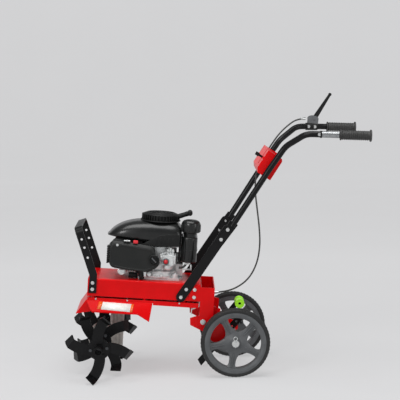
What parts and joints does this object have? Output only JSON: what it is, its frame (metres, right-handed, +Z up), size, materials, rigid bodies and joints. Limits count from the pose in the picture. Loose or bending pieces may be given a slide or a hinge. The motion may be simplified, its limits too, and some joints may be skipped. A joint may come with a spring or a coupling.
{
  "type": "front tine garden tiller",
  "caption": "Petrol front-tine garden tiller with swinging wheel carriage, worm-driven tines, belt drive, handlebar with clutch lever and drag stake.",
  "frame": {"origin": "middle of the bounding box, on the ground under the machine", "axes": "+Z up, +X to the rear towards the handlebar, +Y to the operator's right"},
  "size_m": [1.1056, 0.524, 1.0084],
  "materials": {
    "red_paint": "gloss powder coat, red",
    "black_paint": "satin black powder coat",
    "tine_black": "black enamel on forged steel",
    "zinc": "bright zinc plate",
    "steel": "machined steel",
    "cast_aluminium": "die-cast aluminium, as cast",
    "case_aluminium": "extruded aluminium, dull",
    "iron": "cast iron, as cast",
    "bronze": "bronze, machined",
    "gloss_black": "gloss black moulding",
    "matte_black": "matt black moulding",
    "dark_grey": "charcoal moulding, fine grain",
    "wheel_grey": "dark grey moulding, satin",
    "lime": "lime green moulding",
    "red_rubber": "red rubber",
    "rubber": "black rubber",
    "tyre_rubber": "black tyre rubber",
    "grey_metal": "grey enamel",
    "muffler_steel": "heat-dulled pressed steel"
  },
  "bodies": {
    "chassis": {"engine_deck": "red_paint", "belt_cover": "red_paint", "rear_box": "red_paint", "tine_shield": "red_paint", "console_panel": "red_paint", "front_bail": "black_paint", "handle_bar_left": "black_paint", "handle_bar_right": "black_paint", "handle_tube_left": "black_paint", "handle_tube_right": "black_paint", "frame_bolts": "zinc", "stop_bracket": "zinc", "pivot_rod": "zinc", "grip_left": "rubber", "grip_right": "rubber", "clutch_bracket": "grey_metal", "clutch_cable": "rubber", "crankcase": "cast_aluminium", "cylinder_block": "cast_aluminium", "carburettor": "cast_aluminium", "piston": "cast_aluminium", "muffler": "muffler_steel", "blower_shroud": "gloss_black", "recoil_housing": "matte_black", "fuel_tank": "gloss_black", "air_cleaner_box": "dark_grey", "spark_plug": "rubber", "drive_belt": "rubber", "gearcase": "case_aluminium", "shaft_bearings": "steel"},
    "crankshaft": {"crankshaft": "steel", "flywheel": "iron", "engine_pulley": "steel"},
    "tines": {"tine_shaft": "steel", "worm_wheel": "bronze", "tines_left": "tine_black", "tines_right": "tine_black", "hitch_pins": "zinc"},
    "worm": {"worm_shaft": "steel", "driven_pulley": "steel"},
    "idler_arm": {"idler_arm": "steel"},
    "idler_pulley": {"idler_pulley": "steel"},
    "clutch_lever": {"clutch_lever": "matte_black"},
    "throttle_lever": {"throttle_lever": "matte_black"},
    "starter_handle": {"starter_handle": "matte_black"},
    "fuel_cap": {"fuel_cap": "gloss_black"},
    "air_cleaner_knob": {"air_cleaner_knob": "matte_black"},
    "primer_bulb": {"primer_bulb": "red_rubber"},
    "carriage": {"carriage_frame": "red_paint", "axle_rod": "zinc", "axle_fittings": "zinc", "stake_bracket": "black_paint", "stake_clamp": "matte_black"},
    "latch_lever": {"latch_lever": "black_paint", "latch_grip": "lime"},
    "drag_stake": {"drag_stake": "black_paint"},
    "wheel_left": {"wheel_rim_left": "wheel_grey", "tyre_left": "tyre_rubber"},
    "wheel_right": {"wheel_rim_right": "wheel_grey", "tyre_right": "tyre_rubber"}
  },
  "joints": [
    {"name": "engine_spin", "type": "hinge", "parent": "chassis", "child": "crankshaft", "pos_m": [-0.22036, 0, 0.30767], "axis": [0.0758, 0, 0.9971], "continuous": true},
    {"name": "tine_spin", "type": "hinge", "parent": "chassis", "child": "tines", "pos_m": [-0.4289, 0, 0.12386], "axis": [0, 1, 0], "continuous": true},
    {"name": "worm_spin", "type": "hinge", "parent": "chassis", "child": "worm", "pos_m": [-0.36195, 0, 0.31844], "axis": [0.0758, 0, 0.9971], "continuous": true},
    {"name": "idler_swing", "type": "hinge", "parent": "chassis", "child": "idler_arm", "pos_m": [-0.2403, 0.092, 0.30918], "axis": [0.0758, 0, 0.9971], "range_deg": [0, 12]},
    {"name": "idler_spin", "type": "hinge", "parent": "idler_arm", "child": "idler_pulley", "pos_m": [-0.28717, 0.072, 0.31275], "axis": [0.0758, 0, 0.9971], "continuous": true},
    {"name": "clutch_squeeze", "type": "hinge", "parent": "chassis", "child": "clutch_lever", "pos_m": [0.39101, 0.2195, 0.90903], "axis": [0, 1, 0], "range_deg": [0, 45], "stiffness_Nm_per_rad": 0.6, "springref_deg": -17.19},
    {"name": "throttle_set", "type": "hinge", "parent": "chassis", "child": "throttle_lever", "pos_m": [0.20599, -0.06, 0.77066], "axis": [0, 1, 0], "range_deg": [-22, 22]},
    {"name": "starter_pull", "type": "slide", "parent": "chassis", "child": "starter_handle", "axis": [0.9597, 0, 0.2811], "range_m": [0, 0.035], "stiffness_N_per_m": 80, "springref_m": -0.03},
    {"name": "fuel_cap_turn", "type": "hinge", "parent": "chassis", "child": "fuel_cap", "pos_m": [-0.08933, -0.048, 0.5404], "axis": [0.0758, 0, 0.9971], "range_deg": [0, 90]},
    {"name": "cleaner_knob_turn", "type": "hinge", "parent": "chassis", "child": "air_cleaner_knob", "pos_m": [-0.22637, -0.11, 0.42646], "axis": [0, 1, 0], "range_deg": [0, 90]},
    {"name": "primer_press", "type": "slide", "parent": "chassis", "child": "primer_bulb", "axis": [0, 1, 0], "range_m": [0, 0.004], "stiffness_N_per_m": 400, "springref_m": -0.001},
    {"name": "carriage_swing", "type": "hinge", "parent": "chassis", "child": "carriage", "pos_m": [-0.0523, 0, 0.1966], "axis": [0, 1, 0], "range_deg": [0, 94]},
    {"name": "latch_release", "type": "hinge", "parent": "carriage", "child": "latch_lever", "pos_m": [-0.0103, 0, 0.134], "axis": [0, -1, 0], "range_deg": [0, 10], "stiffness_Nm_per_rad": 8, "springref_deg": -8.59},
    {"name": "stake_slide", "type": "slide", "parent": "carriage", "child": "drag_stake", "axis": [0.6723, 0, 0.7402], "range_m": [-0.04, 0.06]},
    {"name": "wheel_left_spin", "type": "hinge", "parent": "carriage", "child": "wheel_left", "pos_m": [0.0637, -0.165, 0.127], "axis": [0, 1, 0], "continuous": true},
    {"name": "wheel_right_spin", "type": "hinge", "parent": "carriage", "child": "wheel_right", "pos_m": [0.0637, 0.165, 0.127], "axis": [0, 1, 0], "continuous": true}
  ],
  "couplings": [
    {"joint": "worm_spin", "follows": "tine_spin", "ratio": 20},
    {"joint": "idler_swing", "follows": "clutch_squeeze", "ratio": 0.26667}
  ]
}
